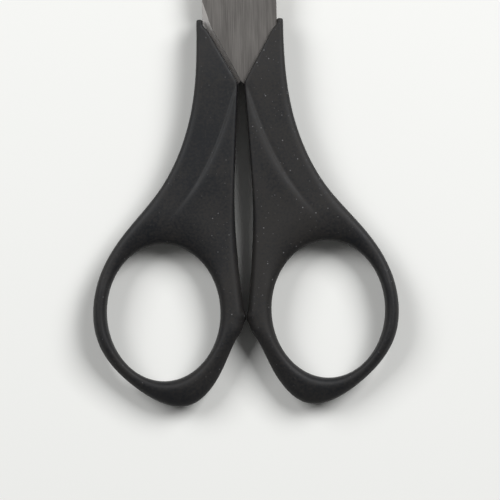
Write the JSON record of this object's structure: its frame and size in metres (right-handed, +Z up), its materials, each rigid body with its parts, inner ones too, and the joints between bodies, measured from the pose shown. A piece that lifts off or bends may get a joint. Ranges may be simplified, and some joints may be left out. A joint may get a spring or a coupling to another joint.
{
  "type": "thread snips",
  "caption": "Small ring-handled thread snips with short pointed steel blades on a screw pivot and moulded black finger loops.",
  "frame": {"origin": "pivot axis at the flat underside that the snips lie on", "axes": "+Y from the pivot to the blade points, +X to the right handle, +Z up from the surface the snips lie on, along the pivot screw"},
  "size_m": [0.0542, 0.119, 0.007],
  "materials": {
    "blade_steel": "fine lengthwise brushed stainless steel",
    "grip_plastic": "black moulded plastic, matte with a soft sheen",
    "pivot_steel": "turned steel, lightly polished"
  },
  "bodies": {
    "rear_half": {"rear_blade": "blade_steel", "left_handle": "grip_plastic", "pivot_screw": "pivot_steel", "spring_washer": "pivot_steel", "plain_washer": "pivot_steel", "pivot_nut": "pivot_steel"},
    "front_half": {"front_blade": "blade_steel", "right_handle": "grip_plastic"}
  },
  "joints": [
    {"name": "pivot", "type": "hinge", "parent": "rear_half", "child": "front_half", "pos_m": [0, 0, 0.0035], "axis": [0, 0, 1], "range_deg": [0, 75]}
  ]
}
